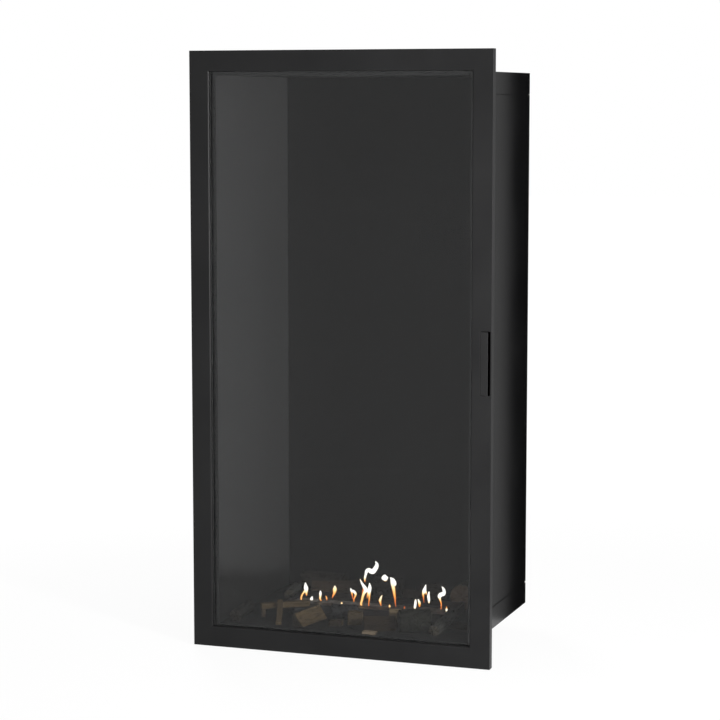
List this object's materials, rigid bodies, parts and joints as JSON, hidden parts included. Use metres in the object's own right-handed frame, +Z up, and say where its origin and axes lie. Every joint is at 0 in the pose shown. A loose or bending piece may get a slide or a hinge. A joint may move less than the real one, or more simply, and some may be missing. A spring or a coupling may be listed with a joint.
{
  "type": "built-in bioethanol fireplace",
  "caption": "Tall built-in bioethanol fireplace: insulated black steel firebox, hinged glazed door with a folded finger pull, slot burner with a sliding snuffer, and a bed of ceramic logs.",
  "frame": {"origin": "middle of the casing's underside, which stands on the niche's floor", "axes": "+X to the right as the door is faced, +Y into the wall, +Z up; the door faces -Y"},
  "size_m": [0.6, 0.4106, 1.15],
  "materials": {
    "black_paint": "satin",
    "firebox_lining": "matte",
    "insulating_board": "matte",
    "ceramic_wool": "matte",
    "sealing_rope": "matte",
    "ceramic_glass": "gloss",
    "plated_steel": "satin",
    "magnet": "matte",
    "bush_bronze": "satin",
    "burner_steel": "satin",
    "split_wood_look": "matte",
    "brown_wood_look": "matte",
    "bark_look": "matte",
    "charred_look": "matte"
  },
  "bodies": {
    "casing": {"base_tray": "black_paint", "top_cap": "black_paint", "left_side_panel": "black_paint", "right_side_panel": "black_paint", "back_panel": "black_paint", "front_flange": "black_paint", "upper_hinge_bracket": "black_paint", "lower_hinge_bracket": "black_paint", "left_liner": "firebox_lining", "right_liner": "firebox_lining", "back_liner": "firebox_lining", "top_liner": "firebox_lining", "hearth_plate": "firebox_lining", "left_insulation": "insulating_board", "right_insulation": "insulating_board", "back_insulation": "insulating_board", "burner_wick": "ceramic_wool", "door_seal": "sealing_rope", "back_screws": "plated_steel", "hinge_screws": "plated_steel", "hinge_pins": "plated_steel", "catch_magnets": "magnet", "burner_tank": "burner_steel", "burner_top": "burner_steel", "snuffer_rails": "burner_steel", "split_log": "split_wood_look", "cut_chunk": "split_wood_look", "light_chunk": "split_wood_look", "front_stick": "split_wood_look", "cross_stick": "split_wood_look", "wood_chips": "split_wood_look", "brown_log": "brown_wood_look", "right_wall_log": "brown_wood_look", "rear_long_log": "brown_wood_look", "rear_right_log": "brown_wood_look", "rear_corner_log": "brown_wood_look", "bark_log": "bark_look", "rough_bark_log": "bark_look", "left_wall_log": "bark_look", "left_rear_log": "bark_look", "rear_left_log": "bark_look", "rear_mid_log": "bark_look", "right_tall_log": "bark_look", "charred_log": "charred_look", "under_log": "charred_look"},
    "door": {"door_frame": "black_paint", "door_handle": "black_paint", "glass_gasket": "sealing_rope", "door_glass": "ceramic_glass", "left_glass_bar": "plated_steel", "right_glass_bar": "plated_steel", "top_glass_bar": "plated_steel", "bottom_glass_bar": "plated_steel", "bar_posts": "plated_steel", "bar_screws": "plated_steel", "upper_hinge_bush": "bush_bronze", "lower_hinge_bush": "bush_bronze"},
    "snuffer": {"snuffer_lid": "burner_steel", "snuffer_knob": "burner_steel"}
  },
  "joints": [
    {"name": "door_hinge", "type": "hinge", "parent": "casing", "child": "door", "pos_m": [-0.294, -0.2015, 0.535], "axis": [0, 0, -1], "range_deg": [0, 95]},
    {"name": "snuffer_slide", "type": "slide", "parent": "casing", "child": "snuffer", "axis": [0, -1, 0], "range_m": [0, 0.045]}
  ]
}
